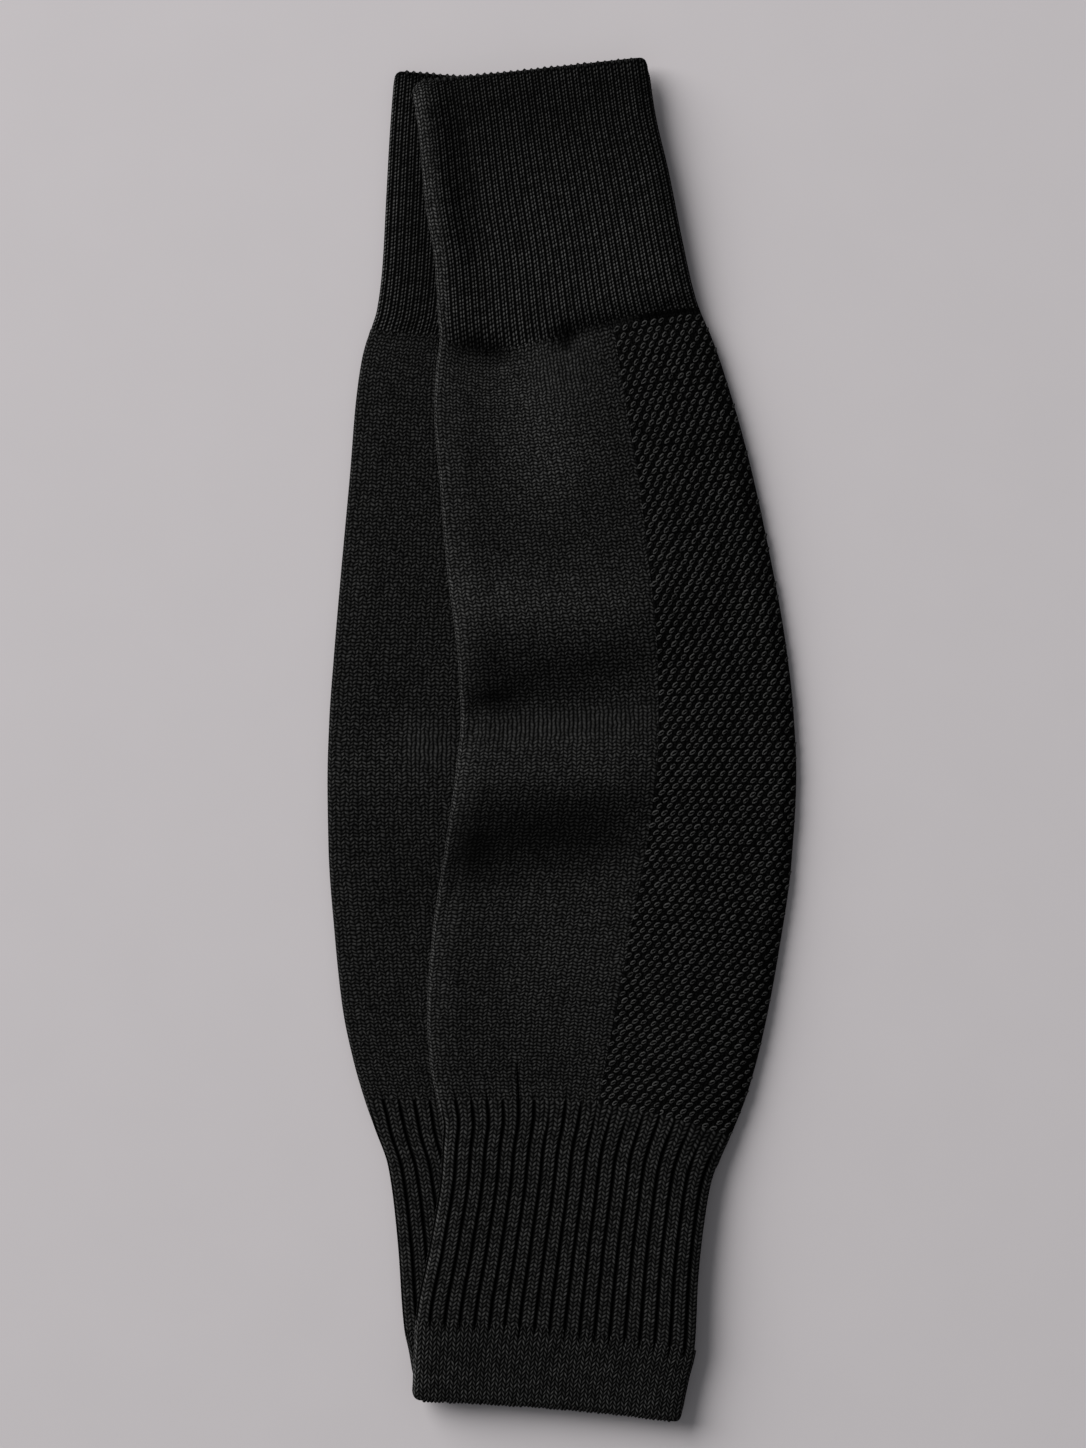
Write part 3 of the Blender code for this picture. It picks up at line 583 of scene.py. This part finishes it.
def wall_edges(sides, rows, closed):
    """Corners of the faces that join the wall's two sides, each as its side, ring and point."""
    found = []
    for ring, turned in ((0, False), (rows - 1, True)):
        for tri in zipped(sides[0][0][ring], sides[1][0][ring], closed):
            corners = [(s, ring, k) for s, k in tri]
            found.append(corners[::-1] if turned else corners)
    if not closed:
        last, end = (s[0].shape[1] - 1 for s in sides)
        for r in range(rows - 1):
            found.append([(0, r, 0), (0, r + 1, 0), (1, r + 1, 0), (1, r, 0)])
            found.append([(0, r + 1, last), (0, r, last), (1, r, end), (1, r + 1, end)])
    return found


def wall_faces(sides, knits, rows, closed):
    """Faces of a closed wall, and the place in the knit of each of their corners."""
    counts = [s[0].shape[1] for s in sides]
    starts = [0, rows * counts[0]]
    faces = []
    places = []
    for side in (0, 1):
        quads, at = grid(rows, counts[side], starts[side], closed)
        spots = knits[side][at[..., 0], at[..., 1]]
        order = slice(None, None, -1) if side else slice(None)
        faces.extend(quads[:, order].tolist())
        places.extend(spots[:, order].tolist())
    for corners in wall_edges(sides, rows, closed):
        faces.append([starts[s] + r * counts[s] + k % counts[s] for s, r, k in corners])
        places.append([knits[s][r, k].tolist() for s, r, k in corners])
    return faces, places


def knit_zone(sleeve, zone):
    """A closed wall of one zone: points, faces, places in the knit and the cloth's marks."""
    downs, pinch = ring_places(sleeve, zone)
    sides = [wall_path(sleeve, zone, downs, pinch, inside) for inside in (False, True)]
    courses = (downs - downs[0]) / zone.course
    knits = [np.stack(np.broadcast_arrays(s[1] * zone.columns, courses), axis=-1) for s in sides]
    faces, places = wall_faces(sides, knits, len(downs), zone.name not in ("calf", "panel"))
    if zone.name == "panel":  # its rings run the other way round
        faces = [f[::-1] for f in faces]
        places = [p[::-1] for p in places]
    points = np.vstack([s[0].reshape(-1, 3) for s in sides])
    marks = {name: np.concatenate([s[2][name].ravel() for s in sides]) for name in sides[0][2]}
    x, y, _ = points.T
    # the patches of painted light and shade are added to the light mark
    marks["light"] = np.maximum(marks["light"] + folds(sleeve.painted_light_rows, x, y), LEAST_LIGHT)
    marks["drawn"] = np.clip(folds(sleeve.drawn_rows, x, y), 0.0, 1.0)
    return points, faces, places, marks


def put_in_scene(name, data):
    """An object of its own for a mesh, a camera or a light."""
    thing = bpy.data.objects.new(name, data)
    bpy.context.scene.collection.objects.link(thing)
    return thing


def make_piece(name, points, faces, places, marks, material):
    """A smooth piece with its place in the knit as a UV map, and its marks as attributes."""
    mesh = bpy.data.meshes.new(name)
    mesh.from_pydata((points * MM).tolist(), [], faces)
    knit = mesh.uv_layers.new(name="knit")
    knit.data.foreach_set("uv", np.array([c for face in places for c in face], np.float32).ravel())
    for label, data in marks.items():
        mesh.attributes.new(label, "FLOAT", "POINT").data.foreach_set("value", data.astype(np.float32))
    mesh.materials.append(material)
    mesh.polygons.foreach_set("use_smooth", [True] * len(mesh.polygons))
    mesh.set_sharp_from_angle(angle=math.radians(SHARP_ANGLE))
    return put_in_scene(name, mesh)


class Value:
    """A number or vector in a node tree; arithmetic on a number adds Math nodes."""

    def __init__(self, nodes, socket):
        self.nodes = nodes
        self.socket = socket

    def maths(self, operation, *values):
        return self.nodes.node("ShaderNodeMath", {"operation": operation}, dict(enumerate(values)))[0]

    def __add__(self, other):
        return self.maths("ADD", self, other)

    def __sub__(self, other):
        return self.maths("SUBTRACT", self, other)

    def __rsub__(self, other):
        return self.maths("SUBTRACT", other, self)

    def __mul__(self, other):
        return self.maths("MULTIPLY", self, other)

    def __truediv__(self, other):
        return self.maths("DIVIDE", self, other)

    def __pow__(self, other):
        return self.maths("POWER", self, other)

    __radd__ = __add__
    __rmul__ = __mul__

    def floor(self):
        return self.maths("FLOOR", self)

    def fract(self):
        return self.maths("FRACT", self)

    def cosine(self):
        return self.maths("COSINE", self)

    def between(self, low, high):
        return self.maths("MINIMUM", self.maths("MAXIMUM", self, low), high)


class Nodes:
    """A node tree. node() adds a node, its settings first, and gives its outputs."""

    def __init__(self, tree):
        self.tree = tree

    def node(self, kind, settings=None, sockets=None):
        made = self.tree.nodes.new(kind)
        for name, value in (settings or {}).items():
            setattr(made, name, value)
        for key, value in (sockets or {}).items():
            if isinstance(value, Value):
                self.tree.links.new(value.socket, made.inputs[key])
            else:
                made.inputs[key].default_value = value
        return [Value(self, out) for out in made.outputs]

    def noise(self, vector, scale, detail=2.0):
        sockets = {"Vector": vector, "Scale": scale, "Detail": detail}
        return self.node("ShaderNodeTexNoise", {"noise_dimensions": "3D"}, sockets)[0]

    def mix(self, share, a, b):
        """A colour between two colours."""
        return self.node("ShaderNodeMix", {"data_type": "RGBA"}, {0: share, 6: a, 7: b})[2]

    def vector(self, x, y, z):
        return self.node("ShaderNodeCombineXYZ", None, {0: x, 1: y, 2: z})[0]

    def parts(self, vector):
        return self.node("ShaderNodeSeparateXYZ", None, {0: vector})

    def mark(self, name):
        """One of the marks that a mesh carries."""
        return self.node("ShaderNodeAttribute", {"attribute_name": name})[2]

    def store(self, geometry, domain, name, value):
        """The geometry with a number stored on it under this name."""
        settings = {"data_type": "FLOAT", "domain": domain}
        sockets = {"Geometry": geometry, "Name": name, "Value": value}
        return self.node("GeometryNodeStoreNamedAttribute", settings, sockets)[0]

    def random(self, least, most, seed):
        sockets = {2: least, 3: most, "Seed": seed}
        return self.node("FunctionNodeRandomValue", {"data_type": "FLOAT"}, sockets)[1]

    def bump(self, distance, height):
        """A normal for relief of so many millimetres."""
        sockets = {"Strength": 1.0, "Distance": distance * MM, "Height": height}
        return self.node("ShaderNodeBump", None, sockets)[0]


# Finishes: legs of stitches to one column of the knit, share of a column that is groove at each
# side, whether a rib's stitches lie across the whole rib as slanted beads, slant of a leg in
# courses, relief, colour in the gaps, which is painted shade between the stitches, and on the
# crowns, how uneven the stitches are in tone and in place, how high the gaps between legs and
# between courses stay, and how sharp the stitches are.
FINISH = "name legs margin bead slant relief gap crown tone sway leg_gap row_gap sharp"
FINISHES = (
    ("cuff_rib", 2, 0.13, True, 0.62, 0.3, 0.0003, 0.0695, 0.42, 0.9, 0.5, 0, 1.7),
    ("calf_knit", 1, 0, False, 0.6, 0.25, 0.0002, 0.0345, 0.34, 1.3, 0.3, 0, 2),
    # the honeycomb's knit under the raised loops is near black: painted shade between the loops
    ("honeycomb_knit", 1, 0, False, 0.6, 0.2, 0.0002, 0.0025, 0.4, 0.5, 0.1, 0.1, 1.2),
    ("ankle_rib", 3, 0.1, False, 0.7, 0.3, 0.0004, 0.037, 0.5, 0.5, 0.25, 0, 1.6),
    ("hem_knit", 1, 0, False, 1.1, 0.35, 0.0002, 0.044, 0.5, 0.5, 0.28, 0, 2.4),
)
# How stitches stray from their places across and down: scale of the noise, and how far they move.
SWAY_ACROSS = (0.4, 1.4)
SWAY_DOWN = (0.45, 0.9)
DRAWN_SWAY = 0.7  # share of that which drawn knit loses
DRAWN_ROW_GAP = 0.8  # how high the gaps between its courses stay
VALLEY_SLOPE = 4  # how steeply the stitches at a groove rise out of it, by leg
PATCHES = (60.0, 0.25)  # scale of the patchy tone, and how much it differs
FIBRES = (6000.0, 0.6)  # the same for the fibres
FIBRE_RELIEF = 0.15
GROOVE_SHADE = (1.8, 0.02)  # how much a millimetre of depth darkens a groove, and what always stays
LIGHTEST = 2.5  # times the crown's colour is as light as a stitch gets
TINT = (1.0, 1.005, 0.985)
YARN = {"Specular IOR Level": 0.03, "Sheen Weight": 0.004, "Sheen Roughness": 0.5}


def yarn(value):
    """A grey of this strength in the yarn's slightly warm black."""
    return (*(value * c for c in TINT), 1.0)


def new_material(name, looks):
    """A material with these looks, its shader and its nodes."""
    material = bpy.data.materials.new(name)
    material.use_nodes = True
    shader = material.node_tree.nodes["Principled BSDF"]
    for label, value in looks.items():
        shader.inputs[label].default_value = value
    return material, shader, Nodes(material.node_tree)


def paint(nodes, shader, colour, bump):
    nodes.tree.links.new(colour.socket, shader.inputs["Base Color"])
    nodes.tree.links.new(bump.socket, shader.inputs["Normal"])


def rib_legs(nodes, finish, across):
    """How ribbed a point is, its place in its rib and among all legs, and the valley beside a rib."""
    legs = finish.legs
    margin = finish.margin
    ribbed = nodes.mark("ribbed")
    within = (across.fract() - ribbed * margin) * legs / (1 - ribbed * (2 * margin))
    from_left = (within * VALLEY_SLOPE).between(0.0, 1.0)
    from_right = ((legs - within) * VALLEY_SLOPE).between(0.0, 1.0)
    valley = 1 - ribbed * (1 - from_left * from_right)
    leg = across.floor() * legs + within.between(0.001, legs - 0.001)
    return ribbed, within, leg, valley


def stitches(nodes, finish, across, down):
    """Height of the knit, the valleys of its grooves, and a number of its own for each stitch."""
    leg = across
    valley = 1.0
    leg_gap = finish.leg_gap
    if finish.margin:
        ribbed, within, leg, valley = rib_legs(nodes, finish, across)
        leg_gap = ribbed * leg_gap
    place = nodes.vector(leg, down, 0.0)
    drawn = nodes.mark("drawn")
    sway = (1 - drawn * DRAWN_SWAY) * finish.sway
    leg = leg + (nodes.noise(place, SWAY_ACROSS[0]) - 0.5) * (sway * SWAY_ACROSS[1])
    down = down + (nodes.noise(place, SWAY_DOWN[0]) - 0.5) * (sway * SWAY_DOWN[1])
    turn = leg.maths("PINGPONG", leg.floor(), 1.0) * 2 - 1
    side = leg.fract() - 0.5
    lean = side * turn
    own_leg = leg.floor()
    if finish.bead:
        beaded = ribbed.maths("GREATER_THAN", ribbed, 0.5)
        whole = within / finish.legs - 0.5
        side = side + (whole - side) * beaded
        lean = lean + (whole - lean) * beaded
        own_leg = own_leg + (across.floor() * finish.legs - own_leg) * beaded
    run = down + lean * finish.slant
    stitch = nodes.vector(own_leg, run.floor(), 0.0)
    own = nodes.node("ShaderNodeTexWhiteNoise", {"noise_dimensions": "3D"}, {0: stitch})[0]
    leg_gap = (1 - drawn) * leg_gap
    row_gap = drawn * (DRAWN_ROW_GAP - finish.row_gap) + finish.row_gap
    ridge = (side * math.pi).cosine() * (1 - leg_gap) + leg_gap
    height = ridge * (((run.fract() - 0.5) * math.pi).cosine() * (1 - row_gap) + row_gap)
    return height, valley, own


def around_one(value, differs):
    """A number from 0 to 1 turned into a factor with 1 in the middle."""
    return value * differs + (1 - differs / 2)


def knit_finish(finish):
    """Rows of slanted stitch legs over the piece's place in the knit, with painted shade in the gaps and
    grooves.
    """
    material, shader, nodes = new_material(finish.name, {**YARN, "Roughness": 0.85})
    across, down, _ = nodes.parts(nodes.node("ShaderNodeUVMap", {"uv_map": "knit"})[0])
    height, valley, own = stitches(nodes, finish, across, down)
    point = nodes.node("ShaderNodeTexCoord")[3]
    patch = nodes.noise(point, PATCHES[0])
    fibre = nodes.noise(point, FIBRES[0])
    # Painted shade low in the gaps between stitches, in the grooves and in the valleys beside the ribs; the
    # light mark adds painted light and shade and the knit's own tone.
    lit = height ** finish.sharp * around_one(own, 2 * finish.tone)
    lit = lit * around_one(patch, PATCHES[1]) * around_one(fibre, FIBRES[1])
    lit = lit * (1 - nodes.mark("deep") * GROOVE_SHADE[0]).between(GROOVE_SHADE[1], 1.0)
    lit = (lit * valley * nodes.mark("light") / LIGHTEST).between(0.0, 1.0)
    colour = nodes.mix(lit, yarn(finish.gap), yarn(finish.crown * LIGHTEST))
    bump = nodes.bump(finish.relief, height * valley + fibre * FIBRE_RELIEF)
    paint(nodes, shader, colour, bump)
    return material


# Fibres of the raised loops: scale, strength, shift, and the least and most that they leave lit.
LOOP_FIBRES = (1500.0, 4.6, -1.3, 0.12, 1.8)
LOOP_TONE = 0.35  # share of a loop's light that differs from the next


def loop_finish(name, crown):
    """Yarn of the raised loops, each a little lighter or darker than the next, with painted shade on the low
    parts of each loop.
    """
    material, shader, nodes = new_material(name, {**YARN, "Roughness": 0.8})
    scale, strength, shift, least, most = LOOP_FIBRES
    fibre = nodes.noise(nodes.node("ShaderNodeTexCoord")[3], scale)
    # the raised mark paints shade on the low parts of a loop
    lit = (nodes.mark("tone") * LOOP_TONE + (1 - LOOP_TONE)) * nodes.mark("raised")
    lit = lit * (fibre * strength + shift).between(least, most)
    colour = nodes.mix(lit.between(0.0, 1.0), yarn(0.001), yarn(crown))
    paint(nodes, shader, colour, nodes.bump(0.1, fibre))
    return material


# Raised loops of the honeycomb panel: pitch along a course, between rows, length, width and yarn.
LOOP_PITCH = 2.53
LOOP_ROW = 1.88
LOOP_LENGTH = 2.2
LOOP_WIDTH = 1.28
LOOP_YARN = 0.47
LOOP_TURN = 38
LOOP_CROWN = 0.051  # how light the yarn is where it stands up most
LOOP_TWIST = 800.0  # how far its corners rise, by metre of length and of width
LOOP_LEAN = 0.2  # how far its upper side rises over its lower one
LOOP_SIZES = (0.88, 1.12)  # least and largest
LOOP_SHADE = (0.55, 0.45, 0.02)  # light by half a yarn's height, at its middle, and at the least
LOOP_ENDS = (2.6, 0.6)  # from the cuff to the first row, and from the last row to the ankle
LOOP_INSET = 0.9  # from the panel's inner edge, and from the outermost line of its fold
LOOP_STRAY = (0.28, 0.005, 16)  # how unevenly they lie: down, in share of the width, and in turn
STEP = 0.2  # between the points that give a direction on the cloth

# Loops that close the rims: how many across each face, place of the first and yarn.
RIM_LOOPS = {"cuff": (35.5, 0.015, 1.0), "hem": (73, 0.0, 0.7)}
RIM_DEPTH = 0.5  # from the edge in to their middle
RIM_STEP = 0.5  # and on to the point that they point away from
RIM_STRAY = 0.12  # how unevenly they lie
RIM_LENGTH = 1.9
RIM_WIDTH = 1.75
RIM_CLEAR = 3.4  # they stop this far from the folds
RIM_REST = 1.05  # their middles stay this far above what the pair lies on
RIM_CROWN = 0.025


def unit(vectors):
    return vectors / np.linalg.norm(vectors, axis=1)[:, None]


def loop_points(sleeve, zone):
    """Middle, up and lengthwise direction of each raised loop, staggered row by row."""
    first = sleeve.at_row["cuff_end"] + LOOP_ENDS[0]
    last = sleeve.at_row["ankle"] - LOOP_ENDS[1]
    rows = round((last - first) / LOOP_ROW)
    places = []
    for row in range(rows + 1):
        down = first + row * (last - first) / rows
        width = float(sleeve.width(down))
        half = float(sleeve.half(down))
        start = float(sleeve.read("panel", down))
        across = start + LOOP_INSET / width
        if row % 2:
            across += LOOP_PITCH / 2 / width
        while across < 1 + ((QUARTER - 1) * half - LOOP_INSET) / width:
            places.append((down, across))
            across += LOOP_PITCH / width
    places = np.array(places)
    n = np.arange(len(places))
    down = places[:, 0] + LOOP_STRAY[0] * (uneven(n) - 0.5)
    share = places[:, 1] + LOOP_STRAY[1] * (uneven(n + 0.37) - 0.5)
    here, more, below = (
        skin(sleeve, zone, down + a, share + b / sleeve.width(down), 1, False, 0.0)
        for a, b in ((0, 0), (0, STEP), (STEP, 0))
    )
    right = unit(more - here)
    away = unit(below - here)
    up = unit(np.cross(away, right))
    turn = np.radians(LOOP_TURN + LOOP_STRAY[2] * (uneven(n + 0.71) - 0.5))[:, None]
    along = right * np.cos(turn) - away * np.sin(turn)
    return here, up, along


def one_loop(nodes, length, width, thread):
    """A flat ring of yarn with its corners twisted up and down, painted lighter where it stands up and darker,
    as painted shade, low down.
    """

    def circle(corners, radius):
        sizes = {"Resolution": corners, "Radius": radius}
        return nodes.node("GeometryNodeCurvePrimitiveCircle", {"mode": "RADIUS"}, sizes)[0]

    size = nodes.vector(length - thread, width - thread, 1.0)
    path = circle(8, 0.5)
    path = nodes.node("GeometryNodeTransform", None, {"Geometry": path, "Scale": size})[0]
    position = nodes.node("GeometryNodeInputPosition")[0]
    x, y, _ = nodes.parts(position)
    lift = nodes.vector(0.0, 0.0, x * y * LOOP_TWIST + y * LOOP_LEAN)
    path = nodes.node("GeometryNodeSetPosition", None, {"Geometry": path, "Offset": lift})[0]
    ring = circle(5, thread * 0.5)
    loop = nodes.node("GeometryNodeCurveToMesh", None, {"Curve": path, "Profile Curve": ring})[0]
    height = nodes.parts(position)[2] / (0.5 * LOOP_YARN * MM)
    raised = (height * LOOP_SHADE[0] + LOOP_SHADE[1]).between(LOOP_SHADE[2], 1.0)
    return nodes.store(loop, "POINT", "raised", raised)


def loop_turn(nodes):
    """How a loop is turned to lie on the cloth at its point."""
    sockets = {}
    for socket, name in (("Primary Axis", "up"), ("Secondary Axis", "along")):
        kind = {"data_type": "FLOAT_VECTOR"}
        sockets[socket] = nodes.node("GeometryNodeInputNamedAttribute", kind, {"Name": name})[0]
    axes = {"primary_axis": "Z", "secondary_axis": "X"}
    return nodes.node("FunctionNodeAxesToRotation", axes, sockets)[0]


def loop_tree(material):
    """Geometry Nodes: a small loop of yarn on every point, turned to lie on the cloth."""
    tree = bpy.data.node_groups.new("raised loops", "GeometryNodeTree")
    nodes = Nodes(tree)
    tree.interface.new_socket("Points", in_out="INPUT", socket_type="NodeSocketGeometry")
    for name in ("Length", "Width", "Yarn"):
        tree.interface.new_socket(name, in_out="INPUT", socket_type="NodeSocketFloat")
    tree.interface.new_socket("Loops", in_out="OUTPUT", socket_type="NodeSocketGeometry")
    points, *sizes = nodes.node("NodeGroupInput")[:4]
    spread = nodes.node(
        "GeometryNodeInstanceOnPoints",
        None,
        {
            "Points": points,
            "Instance": one_loop(nodes, *sizes),
            "Rotation": loop_turn(nodes),
            "Scale": nodes.random(*LOOP_SIZES, 3),
        },
    )[0]
    toned = nodes.store(spread, "INSTANCE", "tone", nodes.random(0.0, 1.0, 8))
    real = nodes.node("GeometryNodeRealizeInstances", None, {"Geometry": toned})[0]
    done = nodes.node("GeometryNodeSetMaterial", None, {"Geometry": real, "Material": material})[0]
    nodes.node("NodeGroupOutput", None, {0: done})
    return tree


def make_loops(name, here, up, along, tree, sizes):
    """Runs the tree on the points and keeps the result as a plain mesh."""
    mesh = bpy.data.meshes.new(name + "_points")
    mesh.from_pydata((here * MM).tolist(), [], [])
    for label, data in (("up", up), ("along", along)):
        mesh.attributes.new(label, "FLOAT_VECTOR", "POINT").data.foreach_set("vector", data.ravel())
    seeds = put_in_scene(name + "_points", mesh)
    grow = seeds.modifiers.new("loops", "NODES")
    grow.node_group = tree
    for item in tree.interface.items_tree:
        if item.in_out == "INPUT" and item.name in sizes:
            grow[item.identifier] = sizes[item.name] * MM
    graph = bpy.context.evaluated_depsgraph_get()
    plain = bpy.data.meshes.new_from_object(seeds.evaluated_get(graph))
    plain.name = name
    plain.polygons.foreach_set("use_smooth", [True] * len(plain.polygons))
    bpy.data.objects.remove(seeds)
    bpy.data.meshes.remove(mesh)
    return put_in_scene(name, plain)


def rim_skin(sleeve, zone, down, share, side):
    """Points of a rim where the wall is pinched, on top or underneath by the side."""
    over, under = (skin(sleeve, zone, down, share, s, False, 1.0) for s in (1, -1))
    return np.where(side[:, None] > 0, over, under)


def rim_points(sleeve, zone):
    """Middle, up and lengthwise direction of the loops of yarn that close a rim, one to each rib
    or column of the knit, on top and underneath."""
    top = zone.first == "rim"
    edge = sleeve.at_row[zone.first if top else zone.last]
    inward = 1 if top else -1
    count, start, _ = RIM_LOOPS[zone.name]
    share = start + (np.arange(int(count)) + 0.5) / count
    width = float(sleeve.width(edge))
    share = share[np.minimum(share, 1 - share) * width > RIM_CLEAR]
    side = np.repeat([1, -1], len(share))
    share = np.tile(share, 2)
    n = np.arange(len(share))
    near = rim_skin(sleeve, zone, edge + inward * RIM_DEPTH, share, side)
    far = rim_skin(sleeve, zone, edge + inward * (RIM_DEPTH + RIM_STEP), share, side)
    near = near + RIM_STRAY * (uneven(n) - 0.5)[:, None]
    lift = np.maximum(RIM_REST - near[:, 2], 0.0)
    near[:, 2] += lift
    far[:, 2] += lift
    along = unit(near - far)
    return near, unit(np.cross(along, np.array([0.0, 0.0, 1.0]))), along


def cut_size(sleeve, zone):
    """Width and length in metres of the cloth that a zone is cut from, and its area."""
    first = sleeve.at_row[zone.first]
    last = sleeve.at_row[zone.last]
    down = np.linspace(first, last, 200)
    panel = sleeve.read("panel", down)
    part = {"calf": panel, "panel": 1 - panel}.get(zone.name, np.ones_like(panel))
    around = 2 * sleeve.width(down) * part
    wide = float(around.max()) * MM
    length = float(last - first) * MM
    return wide, length, float(around.mean()) * MM * length


def make_sleeves():
    finishes = {row.name: knit_finish(row) for row in table(FINISH, FINISHES)}
    raised = loop_tree(loop_finish("raised_loops", LOOP_CROWN))
    closing = loop_tree(loop_finish("rim_loops", RIM_CROWN))
    for sleeve in (LOWER, UPPER):
        for zone in table(ZONE, ZONES):
            name = f"{sleeve.name}_{zone.name}"
            piece = make_piece(name + "_cloth", *knit_zone(sleeve, zone), finishes[zone.slot])
            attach(piece, "root")
            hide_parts(name)
            on_it = []
            if name == "upper_panel":
                sizes = {"Length": LOOP_LENGTH, "Width": LOOP_WIDTH, "Yarn": LOOP_YARN}
                on_it.append(make_loops(name + "_loops", *loop_points(sleeve, zone), raised, sizes))
            if zone.name in RIM_LOOPS:
                sizes = {"Length": RIM_LENGTH, "Width": RIM_WIDTH, "Yarn": RIM_LOOPS[zone.name][2]}
                on_it.append(make_loops(name + "_rim", *rim_points(sleeve, zone), closing, sizes))
            for loops in on_it:
                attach(loops, "root")
            wide, length, area = cut_size(sleeve, zone)


# The camera looks straight down at this spot.
VIEW_CENTRE = (-5.3, 4.4)
VIEW_HEIGHT = 405.4  # what the long side of the image covers at the height of the cloth
CLOTH_HEIGHT = 4.0
LENS = 85.0
SENSOR = 36.0
KEY_LIGHT = (142, 30, 5.0, 4.6, 400.0)  # azimuth and elevation, distance and size in metres, power


def make_camera():
    data = bpy.data.cameras.new("camera")
    data.lens = LENS
    data.sensor_width = SENSOR
    camera = put_in_scene("camera", data)
    away = VIEW_HEIGHT * LENS / SENSOR + CLOTH_HEIGHT
    camera.location = (VIEW_CENTRE[0] * MM, VIEW_CENTRE[1] * MM, away * MM)
    bpy.context.scene.camera = camera


def make_light(name, azimuth, elevation, distance, size, power, colour):
    """A round soft light that looks at the middle of the pair."""
    data = bpy.data.lights.new(name, "AREA")
    data.shape = "DISK"
    data.size = size
    data.energy = power
    data.color = colour
    lamp = put_in_scene(name, data)
    a = math.radians(azimuth)
    e = math.radians(elevation)
    lamp.location = (
        distance * math.cos(e) * math.cos(a),
        distance * math.cos(e) * math.sin(a),
        distance * math.sin(e),
    )
    lamp.rotation_mode = "QUATERNION"
    lamp.rotation_quaternion = lamp.location.to_track_quat("Z", "Y")


def make_floor():
    """A wide pale floor with a faint mottle."""
    looks = {"Roughness": 0.9, "Specular IOR Level": 0.1}
    material, shader, nodes = new_material("pale_floor", looks)
    point = nodes.node("ShaderNodeTexCoord")[3]
    mottle = nodes.noise(point, 40.0, 4.0)
    colour = nodes.mix(mottle, (0.575, 0.548, 0.562, 1.0), (0.595, 0.566, 0.581, 1.0))
    nodes.tree.links.new(colour.socket, shader.inputs["Base Color"])
    mesh = bpy.data.meshes.new("floor")
    ring = [(6 * math.cos(i * math.tau / 64), 6 * math.sin(i * math.tau / 64), 0.0) for i in range(64)]
    mesh.from_pydata(ring, [], [list(range(64))])
    mesh.materials.append(material)
    put_in_scene("floor", mesh)


def make_studio():
    make_camera()
    make_floor()
    make_light("key", *KEY_LIGHT, (1.0, 0.99, 0.98))
    world = bpy.data.worlds.new("studio")
    world.use_nodes = True
    backdrop = world.node_tree.nodes["Background"]
    backdrop.inputs["Color"].default_value = (0.95, 0.97, 1.0, 1.0)
    backdrop.inputs["Strength"].default_value = 0.19
    bpy.context.scene.world = world
    bpy.context.scene.view_settings.view_transform = "Standard"


make_studio()
make_sleeves()
